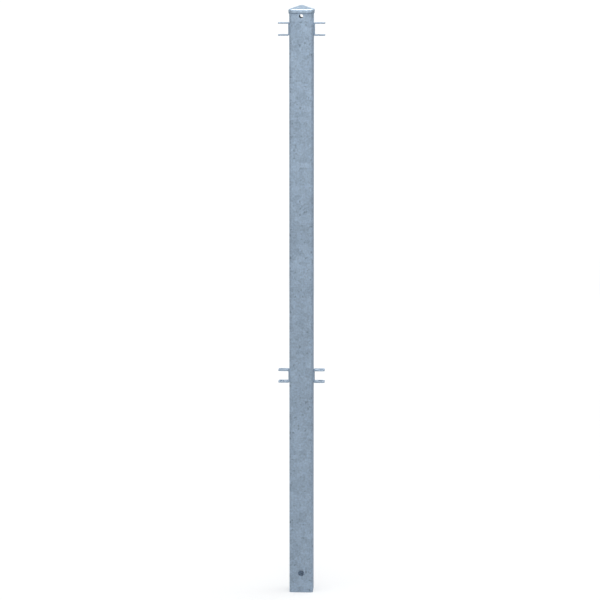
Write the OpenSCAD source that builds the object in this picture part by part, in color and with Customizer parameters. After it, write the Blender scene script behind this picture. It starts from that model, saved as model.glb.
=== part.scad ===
// Railing post: a square tube with a pressed cap and four folded rail brackets, welded together
// and hot-dip galvanised. Its foot is set in the ground and rails are bolted between the lugs.
// Millimetres. The origin is the centre of the foot, +Z is up, and the rails run along X.

/* [Post] */
// Height from the foot to the tip of the cap
total_h = 1500; // [900:10:3000]
// Length that is set in the ground
buried_h = 500; // [200:10:800]
// Outside width of the square tube
post_w = 60; // [50:1:100]
// Wall thickness of the tube
post_wall = 3; // [2:0.5:5]
// Outside corner radius of the tube, counted in wall thicknesses
corner_walls = 2; // [1.5:0.1:2.5]
// Height of the seam that runs down the inside of the tube's left wall
seam_r = 1.2; // [0.5:0.1:2]

/* [Holes in the post] */
// Diameter of the vent hole under the cap, through the front and back walls
vent_d = 10; // [6:0.5:14]
// Metal left between the vent hole and the weld under the cap
vent_land = 0.3; // [0.1:0.1:20]
// Diameter of the ground anchor hole, through the front and back walls
anchor_d = 15; // [8:0.5:18]
// Height of the ground anchor hole above the foot
anchor_h = 50; // [30:5:150]

/* [Cap] */
// Sheet thickness of the cap
cap_wall = 1.5; // [1:0.1:2]
// Gap between the tube and the inside of the skirt
cap_gap = 0.5; // [0.2:0.1:1]
// Height of the skirt, below the eaves
cap_skirt = 8.5; // [7:0.5:20]
// Slope of the cap's four faces, in degrees
cap_slope = 19; // [12:1:35]
// Inside radius of the brim, where a face turns down into the skirt
brim_in_r = 1.5; // [0.5:0.1:3]
// Inside radius of the cap's tip
tip_in_r = 4.5; // [1:0.5:10]
// Gap between the end of the tube and the bend inside the brim
cap_seat = 0.3; // [0.1:0.1:1]

/* [Rail brackets] */
// Height of the lower brackets' centre above the ground
rail_above_ground = 60; // [40:5:200]
// Distance of the upper brackets' centre below the tip of the cap
rail_below_tip = 60; // [50:5:300]
// Clear height between the two lugs
rail_gap = 27; // [22:1:30]
// Distance that the lugs stand out from the post
bracket_reach = 29; // [24:1:60]
// Width from front to back
bracket_w = 30; // [24:1:40]
// Plate thickness
bracket_t = 3; // [2:0.5:4]
// Inside radius of the two bends
bend_r = 1.5; // [1:0.5:3]
// Corner radius at the free end of a lug
lug_corner_r = 5; // [1:0.5:7]
// Diameter of the bolt hole in each lug
bolt_d = 11; // [7:0.5:12]
// Distance of the bolt hole's centre from the end of the lug
bolt_from_end = 10; // [8:0.5:12]

/* [Welds] */
// Distance that the weld under the cap reaches down the tube
cap_weld_leg = 2.5; // [1:0.5:4]
// Leg of the fillet weld at each edge of a bracket
bracket_weld_leg = 2.5; // [1:0.5:3]
// Length left unwelded at each end of a bracket's flat back
weld_stop = 1; // [0.5:0.5:4]

/* [Hidden] */
$fn = 64;

// How far a cutting shape runs past the metal that it cuts
over = 1;
// Straight steps in the brim's and the tip's curves
brim_steps = 6;
tip_steps = 5;
steel = [0.57, 0.64, 0.71];
weld_steel = [0.63, 0.69, 0.75];

post_half = post_w / 2;
post_in_half = post_half - post_wall;
post_corner_r = corner_walls * post_wall;

// The cap goes over the tube, so its plan follows the tube's
cap_in_half = post_half + cap_gap;
cap_half = cap_in_half + cap_wall;
cap_in_corner_r = post_corner_r + cap_gap;
cap_corner_r = cap_in_corner_r + cap_wall;
brim_r = brim_in_r + cap_wall;
tip_r = tip_in_r + cap_wall;
// The rounding takes this much off the sharp tip
tip_drop = tip_r / cos(cap_slope) - tip_r;
eaves_z = total_h + tip_drop - cap_half * tan(cap_slope);
skirt_z = eaves_z - cap_skirt;
// Centres of the brim's and the tip's curves, in the cap's outline
brim_centre = [cap_half - brim_r, eaves_z + brim_r * tan(cap_slope) - brim_r / cos(cap_slope)];
tip_centre = [0, total_h - tip_r];
tube_top = brim_centre[1] - cap_seat;

vent_z = skirt_z - cap_weld_leg - vent_land - vent_d / 2;

upper_z = total_h - rail_below_tip;
lower_z = buried_h + rail_above_ground;
bracket_h = rail_gap + 2 * bracket_t;
bend_out_r = bend_r + bracket_t;
bolt_x = post_half + bracket_reach - bolt_from_end;
bracket_weld_len = bracket_h - 2 * bend_out_r - 2 * weld_stop;

LEFT = -1;
RIGHT = 1;
FRONT = -1;
BACK = 1;

// A square with round corners, centred
module round_square(half, r) {
    square([2 * (half - r), 2 * half], center = true);
    square([2 * half, 2 * (half - r)], center = true);
    for (turn = [0 : 90 : 270])
        rotate(turn) translate([half - r, half - r]) circle(r);
}

// A rectangle from x = 0 to x = w, centred on y, with round corners at its far end
module tab(w, h, r) {
    translate([0, -h / 2]) square([w - r, h]);
    translate([0, r - h / 2]) square([w, h - 2 * r]);
    for (side = [-1, 1])
        translate([w - r, side * (h / 2 - r)]) circle(r);
}

// A hole through the front and back walls of the tube
module cross_hole(z, d) {
    translate([0, 0, z]) rotate([90, 0, 0])
        cylinder(h = post_w + 2 * over, d = d, center = true);
}

module post_tube() {
    color(steel) difference() {
        union() {
            linear_extrude(tube_top) difference() {
                round_square(post_half, post_corner_r);
                round_square(post_in_half, post_corner_r - post_wall);
            }
            translate([LEFT * post_in_half, 0, 0]) cylinder(h = tube_top, r = seam_r);
        }
        cross_hole(anchor_h, anchor_d);
        cross_hole(vent_z, vent_d);
    }
}

// Points of an arc that turns from angle a to angle b
function arc(centre, r, a, b, steps) = [
    for (i = [0 : steps]) centre + r * [cos(a + (b - a) * i / steps), sin(a + (b - a) * i / steps)]
];

// Right half of the cap's outline, from the skirt's lower edge to the tip. An inset of the sheet's
// thickness gives the inside of the cap.
function cap_outline(inset, low_z) = concat(
    [[cap_half - inset, low_z]],
    arc(brim_centre, brim_r - inset, 0, 90 - cap_slope, brim_steps),
    arc(tip_centre, tip_r - inset, 90 - cap_slope, 90, tip_steps)
);

function mirrored(points) = [for (i = [len(points) - 2 : -1 : 0]) [-points[i][0], points[i][1]]];

// The solid under a four-sided roof, whose outline is the same from the front and from the side
module roof(half, corner_r, inset, low_z) {
    outline = cap_outline(inset, low_z);
    intersection() {
        translate([0, 0, low_z]) linear_extrude(total_h - low_z) round_square(half, corner_r);
        for (turn = [0, 90])
            rotate([0, 0, turn]) rotate([90, 0, 0])
                linear_extrude(4 * half, center = true) polygon(concat(outline, mirrored(outline)));
    }
}

module post_cap() {
    color(steel) difference() {
        roof(cap_half, cap_corner_r, 0, skirt_z);
        roof(cap_in_half, cap_in_corner_r, cap_wall, skirt_z - over);
    }
}

// Section of the weld under the cap: x goes out from the tube's face and y is the height
module cap_weld_section() {
    polygon([[0, skirt_z - cap_weld_leg], [cap_half - post_half, skirt_z], [0, skirt_z]]);
}

module cap_weld() {
    flat = post_half - post_corner_r;
    color(weld_steel)
        for (turn = [0 : 90 : 270])
            rotate([0, 0, turn]) {
                translate([post_half, flat, 0]) rotate([90, 0, 0])
                    linear_extrude(2 * flat) cap_weld_section();
                translate([flat, flat, 0]) rotate_extrude(angle = 90)
                    translate([post_corner_r, 0]) cap_weld_section();
            }
}

// A bracket seen from the front: a U that lies on its side, with its back at x = 0
module bracket_section() {
    difference() {
        translate([bracket_reach, 0]) mirror([1, 0]) tab(bracket_reach, bracket_h, bend_out_r);
        translate([bracket_reach + over, 0]) mirror([1, 0])
            tab(bracket_reach + over - bracket_t, rail_gap, bend_r);
    }
}

// Puts its children, made for the right side of the post, on either side at height z
module on_side(side, z) {
    mirror([side == LEFT ? 1 : 0, 0, 0]) translate([0, 0, z]) children();
}

module bracket(side, z) {
    color(steel) on_side(side, z) difference() {
        translate([post_half, 0, 0]) intersection() {
            rotate([90, 0, 0]) linear_extrude(bracket_w, center = true) bracket_section();
            linear_extrude(bracket_h, center = true) tab(bracket_reach, bracket_w, lug_corner_r);
        }
        translate([bolt_x, 0, 0]) cylinder(h = bracket_h + 2 * over, d = bolt_d, center = true);
    }
}

// The fillet weld down the front or the back edge of a bracket
module bracket_weld(side, z, edge) {
    color(weld_steel) on_side(side, z)
        translate([post_half, edge * bracket_w / 2, 0]) mirror([0, edge == FRONT ? 1 : 0, 0])
            linear_extrude(bracket_weld_len, center = true) intersection() {
                circle(bracket_weld_leg);
                square(bracket_weld_leg);
            }
}

post_tube();
post_cap();
cap_weld();
bracket(LEFT, upper_z);  // bracket_upper_left
bracket(RIGHT, upper_z);  // bracket_upper_right
bracket(LEFT, lower_z);  // bracket_lower_left
bracket(RIGHT, lower_z);  // bracket_lower_right
bracket_weld(LEFT, upper_z, FRONT);  // weld_upper_left_front
bracket_weld(LEFT, upper_z, BACK);  // weld_upper_left_back
bracket_weld(RIGHT, upper_z, FRONT);  // weld_upper_right_front
bracket_weld(RIGHT, upper_z, BACK);  // weld_upper_right_back
bracket_weld(LEFT, lower_z, FRONT);  // weld_lower_left_front
bracket_weld(LEFT, lower_z, BACK);  // weld_lower_left_back
bracket_weld(RIGHT, lower_z, FRONT);  // weld_lower_right_front
bracket_weld(RIGHT, lower_z, BACK);  // weld_lower_right_back
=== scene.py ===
"""Looks of a hot-dip galvanised railing post: square tube, pressed cap, folded brackets, weld beads."""

from math import cos, pi, radians, sin, sqrt, tan

import bmesh
import bpy
from mathutils import Matrix, Vector


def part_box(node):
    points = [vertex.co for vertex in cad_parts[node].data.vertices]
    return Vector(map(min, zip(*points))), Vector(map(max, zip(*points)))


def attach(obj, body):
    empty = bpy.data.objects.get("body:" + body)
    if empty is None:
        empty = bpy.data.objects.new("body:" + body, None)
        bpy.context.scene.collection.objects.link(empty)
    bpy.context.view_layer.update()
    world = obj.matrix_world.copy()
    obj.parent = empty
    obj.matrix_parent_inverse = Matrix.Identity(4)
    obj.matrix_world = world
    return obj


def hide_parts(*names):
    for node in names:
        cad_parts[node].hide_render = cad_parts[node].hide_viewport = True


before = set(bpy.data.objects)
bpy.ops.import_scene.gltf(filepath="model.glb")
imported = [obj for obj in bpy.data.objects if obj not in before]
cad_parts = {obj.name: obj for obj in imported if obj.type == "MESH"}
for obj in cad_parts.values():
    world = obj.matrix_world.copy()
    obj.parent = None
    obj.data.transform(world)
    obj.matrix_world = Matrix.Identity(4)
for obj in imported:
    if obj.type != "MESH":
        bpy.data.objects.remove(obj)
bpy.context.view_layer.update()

MM = 0.001
ROOT = "root"

# ---------------------------------------------------------------------------------------------------
# Sizes. What the frame can tell comes from its boxes, and the rest is named here.
# ---------------------------------------------------------------------------------------------------

tube_low, tube_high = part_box("post_tube")
cap_low, cap_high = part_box("post_cap")
POST_HALF = tube_high.x
POST_WALL = 3 * MM
POST_CORNER_R = 2 * POST_WALL
SEAM_R = 1.2 * MM
VENT_R = 5 * MM
# Plain tube between the vent hole and the cap's weld
VENT_LAND = 0.3 * MM
VENT_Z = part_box("cap_weld")[0].z - VENT_LAND - VENT_R
ANCHOR_R = 7.5 * MM
ANCHOR_Z = 50 * MM

CAP_HALF = cap_high.x
CAP_WALL = 1.5 * MM
CAP_CORNER_R = 8 * MM
CAP_HIP_R = 3.2 * MM
CAP_SLOPE = radians(19)
CAP_BRIM_R = 3 * MM
CAP_TIP_R = 13 * MM

BRACKET_T = 3 * MM
BEND_R = 1.5 * MM
LUG_CORNER_R = 5 * MM
BOLT_R = 5.5 * MM
BOLT_FROM_END = 10 * MM

# Radius that zinc and deburring leave on a cut edge
EDGE_R = 0.5 * MM


# ---------------------------------------------------------------------------------------------------
# Mesh helpers
# ---------------------------------------------------------------------------------------------------

def add_mesh(name, verts, faces):
    """A closed mesh in the scene, with its faces turned outwards."""
    mesh = bpy.data.meshes.new(name)
    mesh.from_pydata([tuple(v) for v in verts], [], faces)
    shell = bmesh.new()
    shell.from_mesh(mesh)
    bmesh.ops.remove_doubles(shell, verts=shell.verts, dist=1e-7)
    if shell.calc_volume(signed=True) < 0:
        bmesh.ops.reverse_faces(shell, faces=shell.faces)
    shell.to_mesh(mesh)
    shell.free()
    piece = bpy.data.objects.new(name, mesh)
    bpy.context.scene.collection.objects.link(piece)
    return piece


def smooth(piece, angle=40):
    """Smooth shading that leaves flat faces flat, with edges sharper than the angle kept."""
    for face in piece.data.polygons:
        face.use_smooth = True
    piece.data.set_sharp_from_angle(angle=radians(angle))
    weighted = piece.modifiers.new("flat faces stay flat", "WEIGHTED_NORMAL")
    weighted.keep_sharp = True
    weighted.weight = 100


def settled(piece):
    """The piece with its modifiers applied."""
    graph = bpy.context.evaluated_depsgraph_get()
    mesh = bpy.data.meshes.new_from_object(piece.evaluated_get(graph))
    piece.modifiers.clear()
    piece.data = mesh
    return piece


def bridge_rings(rings, closed_ends=False, loop=False):
    """Verts and faces of a surface through rings of equally many points."""
    count = len(rings[0])
    verts = [p for ring in rings for p in ring]
    faces = []
    last = len(rings) if loop else len(rings) - 1
    for i in range(last):
        a, b = i * count, (i + 1) % len(rings) * count
        for j in range(count):
            k = (j + 1) % count
            faces.append((a + j, a + k, b + k, b + j))
    if closed_ends:
        faces.append(tuple(reversed(range(count))))
        faces.append(tuple(range((len(rings) - 1) * count, len(rings) * count)))
    return verts, faces


def round_square(half, corner_r, arc_steps=8, flat_steps=6, left_stops=None):
    """Points of a square with round corners, anticlockwise, each as (x, y).

    left_stops are heights in y, from high to low, of extra points on the wall at -x."""
    points = []
    flat = half - corner_r
    for quarter in range(4):
        turn = quarter * pi / 2
        side = []
        for i in range(arc_steps):
            a = pi / 2 * i / arc_steps
            side.append((flat + corner_r * cos(a), flat + corner_r * sin(a)))
        if quarter == 1 and left_stops:
            side.append((flat, half))
            side += [(y, half) for y in left_stops]
        else:
            side += [(flat - 2 * flat * i / flat_steps, half) for i in range(flat_steps)]
        points += [(x * cos(turn) - y * sin(turn), x * sin(turn) + y * cos(turn)) for x, y in side]
    return points


def finish_piece(piece, node, material):
    """Gives the piece its material, stands it for its CAD node, and lets it ride on the post."""
    piece.data.materials.clear()
    piece.data.materials.append(material)
    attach(piece, ROOT)
    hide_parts(node)
    return piece


# ---------------------------------------------------------------------------------------------------
# Materials
# ---------------------------------------------------------------------------------------------------

class Nodes:
    """Short calls for building a node tree.

    An input is given by its name, with _ for a space, or by its number as _0, _1 and so on."""

    def __init__(self, tree):
        self.tree = tree
        tree.nodes.clear()

    def add(self, kind, **inputs):
        node = self.tree.nodes.new(kind)
        for key, value in inputs.items():
            self.put(node, key, value)
        return node

    def put(self, node, key, value):
        place = int(key[1:]) if key[0] == "_" else key.replace("_", " ")
        socket = node.inputs[place]
        if isinstance(value, bpy.types.NodeSocket):
            self.tree.links.new(value, socket)
        else:
            socket.default_value = value

    def math(self, operation, *values, clamp=False):
        node = self.tree.nodes.new("ShaderNodeMath")
        node.operation = operation
        node.use_clamp = clamp
        for i, value in enumerate(values):
            self.put(node, f"_{i}", value)
        return node.outputs[0]

    def vector(self, operation, **values):
        node = self.tree.nodes.new("ShaderNodeVectorMath")
        node.operation = operation
        for key, value in values.items():
            self.put(node, key, value)
        return node.outputs[0]

    def span(self, value, low, high, to_low=0.0, to_high=1.0):
        """Maps low..high to to_low..to_high, smoothly and clamped."""
        node = self.add("ShaderNodeMapRange", Value=value, From_Min=low, From_Max=high)
        self.put(node, "To_Min", to_low)
        self.put(node, "To_Max", to_high)
        node.interpolation_type = "SMOOTHSTEP"
        return node.outputs[0]

    def noise(self, place, size, detail=2.0, roughness=0.5):
        """Noise of about this feature size in metres, from 0 to 1."""
        node = self.add("ShaderNodeTexNoise", Vector=place, Scale=1 / size, Detail=detail)
        self.put(node, "Roughness", roughness)
        return node.outputs[0]

    def mix(self, share, a, b):
        node = self.tree.nodes.new("ShaderNodeMix")
        node.data_type = "RGBA"
        for socket, value in zip((node.inputs[0], node.inputs[6], node.inputs[7]), (share, a, b)):
            if isinstance(value, bpy.types.NodeSocket):
                self.tree.links.new(value, socket)
            else:
                socket.default_value = value
        return node.outputs[2]


# Sizes of what shows in the zinc
CLOUD = 70 * MM
PATCH = 22 * MM
GRAIN = 5 * MM
RAGGED_EVERY = 4 * MM
RAGGED_BY = 3.5 * MM
SPECK_APART = 13 * MM
ZINC_RELIEF = 0.35 * MM
ZINC_CONTRAST = 1.6


def zinc(name, light, dark, spangle=12 * MM, specks=1.0, rough=(0.44, 0.62)):
    """Hot-dip zinc: dull crystals, soft clouds, fine grain and a few dark specks.

    spangle is the size of a crystal, specks their strength, and rough the least and most roughness."""
    material = bpy.data.materials.new(name)
    material.use_nodes = True
    n = Nodes(material.node_tree)
    place = n.add("ShaderNodeTexCoord").outputs["Object"]

    # Crystals with ragged edges
    wobble = n.add("ShaderNodeTexNoise", Vector=place, Scale=1 / RAGGED_EVERY, Detail=2.0)
    ragged = n.vector("SUBTRACT", _0=wobble.outputs[1], _1=(0.5, 0.5, 0.5))
    moved = n.vector("ADD", _0=place, _1=n.vector("SCALE", _0=ragged, Scale=RAGGED_BY))
    crystal = n.add("ShaderNodeTexVoronoi", Vector=moved, Scale=1 / spangle)
    tone = n.add("ShaderNodeSeparateColor", Color=crystal.outputs["Color"])

    cloud = n.noise(place, CLOUD, 3.0)
    patch = n.noise(place, PATCH, 2.0)
    grain = n.noise(place, GRAIN, 3.0, 0.6)
    lightness = 0.5
    for value, weight in ((tone.outputs[0], 0.22), (cloud, 0.36), (patch, 0.27), (grain, 1.25)):
        swing = n.math("MULTIPLY", n.math("SUBTRACT", value, 0.5), weight * ZINC_CONTRAST)
        lightness = n.math("ADD", lightness, swing)
    colour = n.mix(n.math("ADD", lightness, 0.0, clamp=True), dark, light)

    # Specks of dross, which differ in size and strength and have frayed edges
    spot = n.add("ShaderNodeTexVoronoi", Vector=moved, Scale=1 / SPECK_APART)
    chance = n.add("ShaderNodeSeparateColor", Color=spot.outputs["Color"])
    frayed = n.math("MULTIPLY", n.math("SUBTRACT", grain, 0.5), 0.9)
    size = n.math("MULTIPLY", chance.outputs[0], 0.12)
    edge = n.math("ADD", n.math("SUBTRACT", spot.outputs["Distance"], size), frayed)
    near = n.span(edge, -0.04, 0.20, 1.0, 0.0)
    some = n.span(chance.outputs[1], 0.25, 0.75)
    speck = n.math("MULTIPLY", n.math("MULTIPLY", near, some), 0.55 * specks)
    dross = tuple(c * 0.55 for c in dark[:3]) + (1,)
    colour = n.mix(speck, colour, dross)

    # Each crystal has its own shine
    shine = n.math("ADD", n.math("MULTIPLY", tone.outputs[1], 0.6), n.math("MULTIPLY", grain, 0.4))
    roughness = n.span(shine, 0.0, 1.0, *rough)

    # The coat is slightly uneven
    height = n.math("ADD", n.math("MULTIPLY", patch, 0.9), n.math("MULTIPLY", grain, 0.16))
    height = n.math("ADD", height, n.math("MULTIPLY", tone.outputs[2], 0.05))
    bump = n.add("ShaderNodeBump", Strength=0.5, Distance=ZINC_RELIEF, Height=height)

    shader = n.add("ShaderNodeBsdfPrincipled", Base_Color=colour, Roughness=roughness, Metallic=0.85)
    n.put(shader, "Normal", bump.outputs[0])
    out = n.add("ShaderNodeOutputMaterial")
    n.tree.links.new(shader.outputs[0], out.inputs[0])
    return material


tube_zinc = zinc("galvanised tube", (0.52, 0.645, 0.79, 1), (0.33, 0.41, 0.505, 1))
cap_zinc = zinc(
    "galvanised sheet", (0.53, 0.655, 0.80, 1), (0.37, 0.46, 0.56, 1),
    spangle=9 * MM, specks=0.4, rough=(0.32, 0.46),
)
plate_zinc = zinc(
    "galvanised plate", (0.49, 0.61, 0.75, 1), (0.33, 0.41, 0.505, 1),
    spangle=9 * MM, specks=0.4,
)
weld_zinc = zinc(
    "galvanised weld", (0.50, 0.62, 0.76, 1), (0.34, 0.42, 0.52, 1),
    spangle=5 * MM, specks=0.0, rough=(0.5, 0.66),
)


# ---------------------------------------------------------------------------------------------------
# Post tube
# ---------------------------------------------------------------------------------------------------

SEAM_STOPS = [SEAM_R * cos(pi * i / 12) for i in range(13)]


def seam_ring(z, lift):
    """The inside of the tube at height z, with the bead of its long seam on the left wall."""
    half = POST_HALF - POST_WALL + lift
    corner_r = POST_CORNER_R - POST_WALL + lift
    ring = []
    for x, y in round_square(half, corner_r, left_stops=SEAM_STOPS):
        bead = sqrt(max(0.0, SEAM_R ** 2 - y ** 2)) if x < 0 else 0.0
        ring.append((x + bead, y, z))
    return ring


def outer_ring(z, inset):
    """The outside of the tube at height z, drawn in by the inset where an end's edge is round."""
    points = round_square(POST_HALF - inset, POST_CORNER_R - inset, left_stops=SEAM_STOPS)
    return [(x, y, z) for x, y in points]


def edge_steps(steps=4):
    """(across, along) shares of a quarter-round edge, from the face that it starts on."""
    return [(1 - cos(pi / 2 * i / steps), 1 - sin(pi / 2 * i / steps)) for i in range(steps + 1)]


def hole_cutter(z, r):
    """A round cutter along Y that leaves round edges where it breaks out of each wall."""
    slack = 0.01 * MM
    stick_out = 5 * MM
    wide = r + EDGE_R
    wider = wide + 0.1 * MM
    widest = wide + 0.5 * MM
    outer_y = POST_HALF + slack
    inner_y = POST_HALF - POST_WALL - slack
    profile = [(POST_HALF + stick_out, widest), (POST_HALF + EDGE_R, wider)]
    for across, along in edge_steps():
        profile.append((outer_y - across * EDGE_R, r + along * EDGE_R))
    for across, along in reversed(edge_steps()):
        profile.append((inner_y + across * EDGE_R, r + along * EDGE_R))
    profile.append((inner_y - EDGE_R, wider))
    profile += [(-y, radius) for y, radius in reversed(profile)]
    count = 72
    rings = []
    for y, radius in profile:
        turns = [2 * pi * i / count for i in range(count)]
        rings.append([(radius * cos(turn), y, z + radius * sin(turn)) for turn in turns])
    return add_mesh("cutter", *bridge_rings(rings, closed_ends=True))


def build_tube():
    """A square tube with a weld seam inside, round edges at both ends, and its two through holes."""
    top, foot = tube_high.z, tube_low.z
    rings = []
    steps = edge_steps()
    # Up the outside from the foot, over the top edge, and down the inside
    for across, along in steps:
        rings.append(outer_ring(foot + across * EDGE_R, along * EDGE_R))
    for across, along in reversed(steps):
        rings.append(outer_ring(top - across * EDGE_R, along * EDGE_R))
    for across, along in steps:
        rings.append(seam_ring(top - across * EDGE_R, along * EDGE_R))
    for across, along in reversed(steps):
        rings.append(seam_ring(foot + across * EDGE_R, along * EDGE_R))
    tube = add_mesh("tube", *bridge_rings(rings, loop=True))
    for z, r in ((VENT_Z, VENT_R), (ANCHOR_Z, ANCHOR_R)):
        cutter = hole_cutter(z, r)
        cut = tube.modifiers.new("hole", "BOOLEAN")
        cut.operation = "DIFFERENCE"
        cut.solver = "EXACT"
        cut.object = cutter
        settled(tube)
        bpy.data.objects.remove(cutter)
    smooth(tube)
    return finish_piece(tube, "post_tube", tube_zinc)


# ---------------------------------------------------------------------------------------------------
# Cap
# ---------------------------------------------------------------------------------------------------

def cap_profile(inset):
    """(half width, height) of the cap from its tip to the skirt's lower edge, on one side."""
    tip_r, brim_r = CAP_TIP_R - inset, CAP_BRIM_R - inset
    tip_z = cap_high.z - CAP_TIP_R
    eaves_z = cap_high.z - CAP_TIP_R + CAP_TIP_R / cos(CAP_SLOPE) - CAP_HALF * tan(CAP_SLOPE)
    brim_x = CAP_HALF - CAP_BRIM_R
    brim_z = eaves_z + CAP_BRIM_R * tan(CAP_SLOPE) - CAP_BRIM_R / cos(CAP_SLOPE)
    tip_steps, slope_steps, brim_steps = 6, 8, 8
    points = []
    for i in range(1, tip_steps + 1):
        a = CAP_SLOPE * i / tip_steps
        points.append((tip_r * sin(a), tip_z + tip_r * cos(a)))
    start, end = points[-1], (brim_x + brim_r * sin(CAP_SLOPE), brim_z + brim_r * cos(CAP_SLOPE))
    for i in range(1, slope_steps):
        share = i / slope_steps
        points.append((start[0] + (end[0] - start[0]) * share, start[1] + (end[1] - start[1]) * share))
    for i in range(brim_steps + 1):
        a = CAP_SLOPE + (pi / 2 - CAP_SLOPE) * i / brim_steps
        points.append((brim_x + brim_r * sin(a), brim_z + brim_r * cos(a)))
    return points


def cap_ring(half, z, inset):
    """A ring of the cap: its corners are as round as the hips above, and widen to the skirt's."""
    share = min(1.0, half / CAP_HALF)
    corner = CAP_HIP_R + (CAP_CORNER_R - CAP_HIP_R) * share ** 2 - inset * share
    corner = min(half * 0.999, corner)
    return [(x, y, z) for x, y in round_square(half, corner, arc_steps=10, flat_steps=12)]


def build_cap():
    """A pressed sheet: outside from the tip to the skirt, round its lower edge and back up inside."""
    edge_r = CAP_WALL / 2
    rings = [cap_ring(half, z, 0) for half, z in cap_profile(0)]
    middle = CAP_HALF - edge_r
    edge_z = cap_low.z + edge_r
    skirt_steps, rim_steps = 3, 6
    for i in range(1, skirt_steps + 1):
        above = rings[-1][0][2]
        rings.append(cap_ring(CAP_HALF, above + (edge_z - above) * i / skirt_steps, 0))
    for i in range(1, rim_steps + 1):
        a = pi * i / rim_steps
        half = middle + edge_r * cos(a)
        rings.append(cap_ring(half, edge_z - edge_r * sin(a), CAP_HALF - half))
    rings += [cap_ring(half, z, CAP_WALL) for half, z in reversed(cap_profile(CAP_WALL))]
    verts, faces = bridge_rings(rings)
    count = len(rings[0])
    tip_out, tip_in = len(verts), len(verts) + 1
    verts += [(0, 0, cap_high.z), (0, 0, cap_high.z - CAP_WALL)]
    last = (len(rings) - 1) * count
    for j in range(count):
        k = (j + 1) % count
        faces.append((tip_out, k, j))
        faces.append((tip_in, last + j, last + k))
    cap = add_mesh("pressed_cap", verts, faces)
    smooth(cap)
    return finish_piece(cap, "post_cap", cap_zinc)


# ---------------------------------------------------------------------------------------------------
# Brackets
# ---------------------------------------------------------------------------------------------------

def arc_points(x, y, r, start, end, steps):
    """Points of an arc about (x, y), from the start angle to the end angle in degrees."""
    angles = [radians(start + (end - start) * i / steps) for i in range(steps + 1)]
    return [(x + r * cos(a), y + r * sin(a)) for a in angles]


def flat_blank(half_length, half_width, hole_at):
    """The bracket's strip before it is folded: round corners and a bolt hole near each end."""
    outline = bpy.data.curves.new("blank", "CURVE")
    outline.dimensions = "2D"
    outline.fill_mode = "BOTH"
    outline.extrude = BRACKET_T / 2 - EDGE_R
    outline.bevel_depth = EDGE_R
    outline.bevel_resolution = 3
    outline.offset = -EDGE_R
    x, y, r = half_length - LUG_CORNER_R, half_width - LUG_CORNER_R, LUG_CORNER_R
    corners = arc_points(x, y, r, 0, 90, 12) + arc_points(-x, y, r, 90, 180, 12)
    corners += arc_points(-x, -y, r, 180, 270, 12) + arc_points(x, -y, r, 270, 360, 12)
    holes = [arc_points(side * hole_at, 0, BOLT_R, 0, 360 * 47 / 48, 47) for side in (-1, 1)]
    for points in [corners, *holes]:
        spline = outline.splines.new("POLY")
        spline.points.add(len(points) - 1)
        for point, (px, py) in zip(spline.points, points):
            point.co = (px, py, 0, 1)
        spline.use_cyclic_u = True
    sheet = bpy.data.objects.new("blank", outline)
    bpy.context.scene.collection.objects.link(sheet)
    graph = bpy.context.evaluated_depsgraph_get()
    mesh = bpy.data.meshes.new_from_object(sheet.evaluated_get(graph))
    bpy.data.objects.remove(sheet)
    return mesh


def fold(point, flat, arc_r):
    """Folds a point of the blank (along, across, through) into the U, whose back is at x = 0."""
    along, across, through = point
    side = 1 if along > 0 else -1
    s = abs(along)
    arc = pi / 2 * arc_r
    centre_x = BRACKET_T / 2 + arc_r
    if s <= flat:
        return Vector((BRACKET_T / 2 - through, across, along))
    if s <= flat + arc:
        a = (s - flat) / arc_r
        r = arc_r + through
        return Vector((centre_x - r * cos(a), across, side * (flat + r * sin(a))))
    return Vector((centre_x + s - flat - arc, across, side * (flat + arc_r + through)))


def build_bracket(level, side):
    """One U bracket: its blank is creased by cuts across the two bends, and folded."""
    node = f"bracket_{level}_{side}"
    low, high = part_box(node)
    reach = high.x - low.x
    half_width = (high.y - low.y) / 2
    height = high.z - low.z
    arc_r = BEND_R + BRACKET_T / 2
    flat = height / 2 - BEND_R - BRACKET_T
    lug = reach - BEND_R - BRACKET_T
    half_length = flat + pi / 2 * arc_r + lug
    mesh = flat_blank(half_length, half_width, half_length - BOLT_FROM_END)
    plate = bmesh.new()
    plate.from_mesh(mesh)
    bend_steps = 10
    for direction in (-1, 1):
        for i in range(bend_steps + 1):
            at = direction * (flat + pi / 2 * arc_r * i / bend_steps)
            geom = plate.verts[:] + plate.edges[:] + plate.faces[:]
            bmesh.ops.bisect_plane(plate, geom=geom, plane_co=(at, 0, 0), plane_no=(1, 0, 0), dist=1e-7)
    for vert in plate.verts:
        vert.co = fold(vert.co, flat, arc_r)
    bmesh.ops.remove_doubles(plate, verts=plate.verts, dist=1e-6)
    bmesh.ops.recalc_face_normals(plate, faces=plate.faces)
    plate.to_mesh(mesh)
    plate.free()
    turn = Matrix.Scale(-1 if side == "left" else 1, 4, (1, 0, 0))
    back = low.x if side == "right" else high.x
    mesh.transform(Matrix.Translation((back, 0, (low.z + high.z) / 2)) @ turn)
    if side == "left":
        mesh.flip_normals()
    mesh.name = node + "_plate"
    piece = bpy.data.objects.new(f"bracket_plate_{level}_{side}", mesh)
    bpy.context.scene.collection.objects.link(piece)
    smooth(piece, 50)
    return finish_piece(piece, node, plate_zinc)


# ---------------------------------------------------------------------------------------------------
# Weld beads
# ---------------------------------------------------------------------------------------------------

# Distance between ripples, and between the rings that a bead is drawn with
RIPPLE = 1.7 * MM
BEAD_STEP = 0.22 * MM
# Height of the ripples as a share of the bead's leg
BRACKET_RIPPLE = 0.11
CAP_RIPPLE = 0.13


def wander(s, seed):
    """A slow wave between -1 and 1 that doesn't repeat soon."""
    mid = 0.5 * sin(s / (3.1 * MM) + seed)
    short = 0.3 * sin(s / (1.9 * MM) + 2.3 * seed)
    long = 0.2 * sin(s / (7.7 * MM) + 1.7 * seed)
    return mid + short + long


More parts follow.
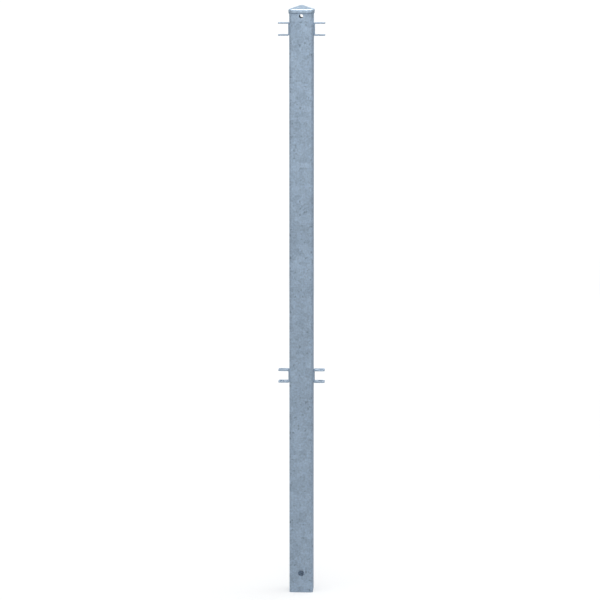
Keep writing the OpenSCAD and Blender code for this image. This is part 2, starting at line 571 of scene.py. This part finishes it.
def bead_rings(stations, leg_a, leg_b, seed, length, open_ends, ripple):
    """Rings of a fillet bead. A station is (distance, root, direction a, direction b, travel)."""
    arc_steps = 9
    sink = 0.25 * MM
    feather = 2.8 * MM
    rings = []
    for s, root, a, b, travel in stations:
        phase = 2 * pi * (s / RIPPLE + 0.35 * wander(s, seed))
        tip = 1.0
        if open_ends:
            from_end = min(1.0, min(s, length - s) / feather)
            tip = sqrt(max(0.01, 1 - (1 - from_end) ** 2))
        waves = ripple * (0.5 * cos(phase) + 0.2 * cos(2 * phase)) * tip
        swell = 0.87 + waves + 0.07 * wander(s, seed + 1)
        toe_a = leg_a * tip * (0.92 + 0.08 * wander(s, seed + 2))
        toe_b = leg_b * tip * (0.92 + 0.08 * wander(s, seed + 3))
        ring = [root - (a + b) * sink, root + a * toe_a - b * sink]
        for i in range(1, arc_steps):
            t = pi / 2 * i / arc_steps
            crown = 1 + (swell - 1) * sin(2 * t)
            lag = travel * (-0.35 * RIPPLE * sin(2 * t) * tip ** 2)
            ring.append(root + (a * toe_a * cos(t) ** 1.15 + b * toe_b * sin(t) ** 1.15) * crown + lag)
        ring.append(root - a * sink + b * toe_b)
        rings.append(ring)
    return rings


def build_bracket_weld(level, side, edge):
    """The upright bead at the front or back edge of one bracket."""
    node = f"weld_{level}_{side}_{edge}"
    low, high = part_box(node)
    out = 1 if side == "right" else -1
    away = -1 if edge == "front" else 1
    root_x = low.x if side == "right" else high.x
    root_y = high.y if edge == "front" else low.y
    length = high.z - low.z
    leg = high.x - low.x
    seed = out + 2 * away + 5 * (level == "upper")
    steps = int(length / BEAD_STEP)
    stations = []
    up = Vector((0, 0, 1))
    for i in range(steps + 1):
        s = length * i / steps
        root = Vector((root_x, root_y, low.z + s))
        stations.append((s, root, Vector((out, 0, 0)), Vector((0, away, 0)), up))
    rings = bead_rings(stations, leg, leg, seed, length, True, BRACKET_RIPPLE)
    bead = add_mesh(f"weld_bead_{level}_{side}_{edge}", *bridge_rings(rings, closed_ends=True))
    smooth(bead, 60)
    return finish_piece(bead, node, weld_zinc)


def post_outline():
    """(distance, point) round the outside of the tube in bead steps, and the whole distance."""
    path = round_square(POST_HALF, POST_CORNER_R, arc_steps=10, flat_steps=1)
    corners = [Vector((x, y, 0)) for x, y in path]
    outline = []
    walked = 0.0
    for i, start in enumerate(corners):
        end = corners[(i + 1) % len(corners)]
        stretch = (end - start).length
        steps = max(1, round(stretch / BEAD_STEP))
        for j in range(steps):
            outline.append((walked + stretch * j / steps, start.lerp(end, j / steps)))
        walked += stretch
    return outline, walked


def build_cap_weld():
    """The bead all round the tube under the cap's skirt, with a whole number of ripples."""
    low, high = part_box("cap_weld")
    leg_out, leg_down = high.x - POST_HALF, high.z - low.z
    outline, length = post_outline()
    whole = round(length / RIPPLE)
    flat = POST_HALF - POST_CORNER_R
    up, down = Vector((0, 0, 1)), Vector((0, 0, -1))
    seed = 3
    stations = []
    for s, point in outline:
        core = Vector((max(-flat, min(flat, point.x)), max(-flat, min(flat, point.y)), 0))
        outward = (point - core).normalized()
        root = Vector((point.x, point.y, high.z))
        stations.append((s * whole * RIPPLE / length, root, outward, down, up.cross(outward)))
    rings = bead_rings(stations, leg_out, leg_down, seed, length, False, CAP_RIPPLE)
    bead = add_mesh("cap_weld_bead", *bridge_rings(rings, loop=True))
    smooth(bead, 60)
    return finish_piece(bead, "cap_weld", weld_zinc)


# ---------------------------------------------------------------------------------------------------
# Studio and camera
# ---------------------------------------------------------------------------------------------------

def build_floor():
    """A wide pale floor that fades to white, with a faint shadow at the foot."""
    mesh = bpy.data.meshes.new("floor")
    half = 90
    corners = [(-half, -half, 0), (half, -half, 0), (half, half, 0), (-half, half, 0)]
    mesh.from_pydata(corners, [], [(0, 1, 2, 3)])
    floor = bpy.data.objects.new("floor", mesh)
    bpy.context.scene.collection.objects.link(floor)
    material = bpy.data.materials.new("pale floor")
    material.use_nodes = True
    n = Nodes(material.node_tree)
    matt = n.add("ShaderNodeBsdfDiffuse", Color=(0.46, 0.46, 0.46, 1))
    # The lamps already brighten the floor round the post, so it glows more further off
    far, near_glow, far_glow = 8.0, 0.50, 0.78
    away = n.add("ShaderNodeVectorMath", _0=n.add("ShaderNodeTexCoord").outputs["Object"])
    away.operation = "LENGTH"
    level = n.add("ShaderNodeMapRange", Value=away.outputs["Value"], From_Max=far)
    n.put(level, "To_Min", near_glow)
    n.put(level, "To_Max", far_glow)
    seen = n.add("ShaderNodeLightPath").outputs["Is Camera Ray"]
    strength = n.math("MULTIPLY", seen, level.outputs[0])
    glow = n.add("ShaderNodeEmission", Color=(1, 1, 1, 1), Strength=strength)
    both = n.add("ShaderNodeAddShader", _0=matt.outputs[0], _1=glow.outputs[0])
    out = n.add("ShaderNodeOutputMaterial")
    n.tree.links.new(both.outputs[0], out.inputs[0])
    mesh.materials.append(material)


def build_world():
    """White to the camera, and a soft room that is brighter at the sides to light the post's edges."""
    world = bpy.data.worlds.new("studio")
    bpy.context.scene.world = world
    world.use_nodes = True
    n = Nodes(world.node_tree)
    horizon, zenith, side_boost = 0.59, 0.57, 1.5
    way = n.add("ShaderNodeSeparateXYZ", Vector=n.add("ShaderNodeTexCoord").outputs["Generated"])
    level = n.span(way.outputs[2], -0.1, 0.9, horizon, zenith)
    sides = n.span(n.math("ABSOLUTE", way.outputs[0]), 0.4, 1.0, 1.0, side_boost)
    strength = n.math("MULTIPLY", level, sides)
    room = n.add("ShaderNodeBackground", Color=(0.95, 0.98, 1.0, 1), Strength=strength)
    white = n.add("ShaderNodeBackground", Color=(1, 1, 1, 1), Strength=1.05)
    seen = n.add("ShaderNodeLightPath").outputs["Is Camera Ray"]
    pick = n.add("ShaderNodeMixShader", _0=seen, _1=room.outputs[0], _2=white.outputs[0])
    out = n.add("ShaderNodeOutputWorld")
    n.tree.links.new(pick.outputs[0], out.inputs[0])


def area_light(name, place, target, size, power):
    """A rectangular lamp at a place in metres, facing a target."""
    data = bpy.data.lights.new(name, "AREA")
    data.shape = "RECTANGLE"
    data.size, data.size_y = size
    data.energy = power
    lamp = bpy.data.objects.new(name, data)
    lamp.location = place
    lamp.rotation_mode = "QUATERNION"
    lamp.rotation_quaternion = (Vector(target) - Vector(place)).to_track_quat("-Z", "Y")
    bpy.context.scene.collection.objects.link(lamp)
    return lamp


def build_lights():
    """A soft box overhead, which draws the bright line on the cap's edge, and two weak fill lamps."""
    area_light("overhead", (0.2, -0.2, 4.2), (0, 0, 1.2), (2.6, 1.4), 86)
    area_light("front", (0.4, -4.8, 2.8), (0, 0, 1.1), (2.8, 2.2), 42)
    area_light("rear", (-0.4, 5.0, 1.9), (0, 0, 0.9), (2.6, 2.0), 19)
    # Stands for the daylight that comes up the open foot
    foot = area_light("foot_glow", (0, 0, 0.004), (0, 0, 1), (0.04, 0.04), 0.0055)
    foot.visible_camera = False


def build_camera():
    """At eye height, a little to the right, with the whole post in view."""
    distance, eye, turn = 7.0, 1.80, radians(2.6)
    data = bpy.data.cameras.new("camera")
    camera = bpy.data.objects.new("camera", data)
    bpy.context.scene.collection.objects.link(camera)
    camera.location = (distance * tan(turn), -distance, eye)
    pitch, aside = radians(8.487), radians(0.034)
    camera.rotation_euler = (pi / 2 - pitch, 0, turn + aside)
    data.sensor_width = 36
    data.lens = 167.5
    data.clip_start, data.clip_end = 0.1, 200
    bpy.context.scene.camera = camera


build_tube()
build_cap()
build_cap_weld()
for level in ("upper", "lower"):
    for side in ("left", "right"):
        build_bracket(level, side)
        for edge in ("front", "back"):
            build_bracket_weld(level, side, edge)
build_floor()
build_world()
build_lights()
build_camera()
bpy.context.scene.view_settings.view_transform = "Standard"
